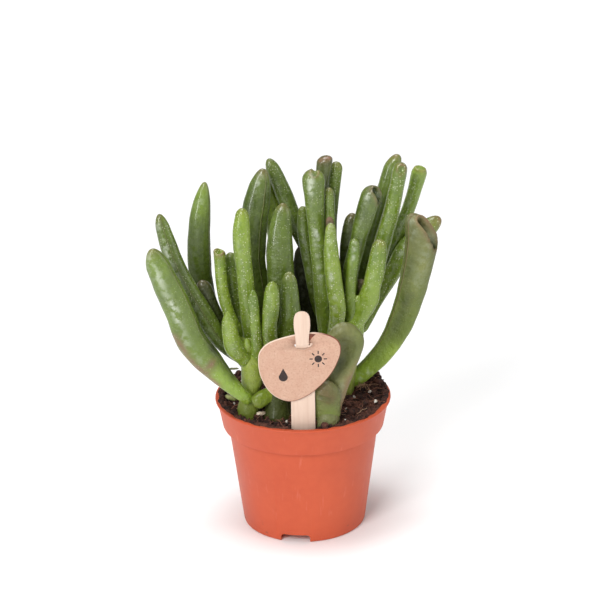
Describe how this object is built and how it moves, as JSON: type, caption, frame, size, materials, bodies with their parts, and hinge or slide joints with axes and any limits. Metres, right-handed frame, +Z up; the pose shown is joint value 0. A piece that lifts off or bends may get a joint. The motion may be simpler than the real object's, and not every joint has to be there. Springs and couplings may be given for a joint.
{
  "type": "potted hobbit jade",
  "caption": "Small succulent with thick finger and trumpet leaves, growing in a plastic nursery pot with soil, a wooden stick and a plain plant tag.",
  "frame": {"origin": "centre of the pot's base, on the surface it stands on", "axes": "+Z up along the pot's axis, -Y towards the front, where the tag is"},
  "size_m": [0.0989, 0.06, 0.1278],
  "materials": {
    "pot": "terracotta plastic, satin",
    "peat": "moist fibrous peat",
    "stick": "bare birch",
    "tag": "matt pressed board",
    "leaf_mid": "waxy",
    "leaf_light": "waxy",
    "leaf_shade": "waxy",
    "leaf_grey": "waxy, bloomed",
    "leaf_dull": "dried",
    "stem_green": "waxy"
  },
  "bodies": {
    "root": {"stem_left": "stem_green", "stem_middle": "leaf_shade", "stem_back": "stem_green", "stem_right": "stem_green", "stalk_front": "leaf_grey", "leaf_left_outer": "leaf_mid", "leaf_left_second": "leaf_mid", "leaf_left_dark": "leaf_shade", "leaf_left_small_dark": "leaf_shade", "leaf_left_front_short": "leaf_light", "leaf_left_bud": "leaf_light", "leaf_left_cut_end": "leaf_mid", "leaf_left_behind": "leaf_shade", "leaf_left_tall": "leaf_mid", "leaf_left_front_finger": "leaf_light", "leaf_middle_front_finger": "leaf_light", "leaf_middle_dark_finger": "leaf_shade", "leaf_middle_broad": "leaf_mid", "leaf_middle_large": "leaf_mid", "leaf_middle_back": "leaf_shade", "leaf_middle_stub": "leaf_light", "leaf_back_arching": "leaf_mid", "leaf_back_heart_trumpet": "leaf_mid", "leaf_back_light": "leaf_light", "leaf_back_dark_trumpet": "leaf_shade", "leaf_back_slim": "leaf_mid", "leaf_back_narrow": "leaf_light", "leaf_back_brown_tip": "leaf_dull", "leaf_back_left_slim": "leaf_mid", "leaf_back_shaded": "leaf_shade", "leaf_right_dimpled": "leaf_mid", "leaf_right_inner_dark": "leaf_shade", "leaf_right_pointed_trumpet": "leaf_mid", "leaf_right_round_trumpet": "leaf_mid", "leaf_right_flared": "leaf_mid", "leaf_right_long_back": "leaf_mid", "leaf_right_front_finger": "leaf_light", "leaf_right_light": "leaf_light", "leaf_right_bud": "leaf_light", "leaf_right_dull": "leaf_dull", "leaf_right_slot_cup": "leaf_grey", "leaf_front_spoon": "leaf_grey", "leaf_front_knob": "leaf_grey", "pot": "pot", "soil": "peat", "stick": "stick", "tag": "tag"}
  },
  "joints": []
}
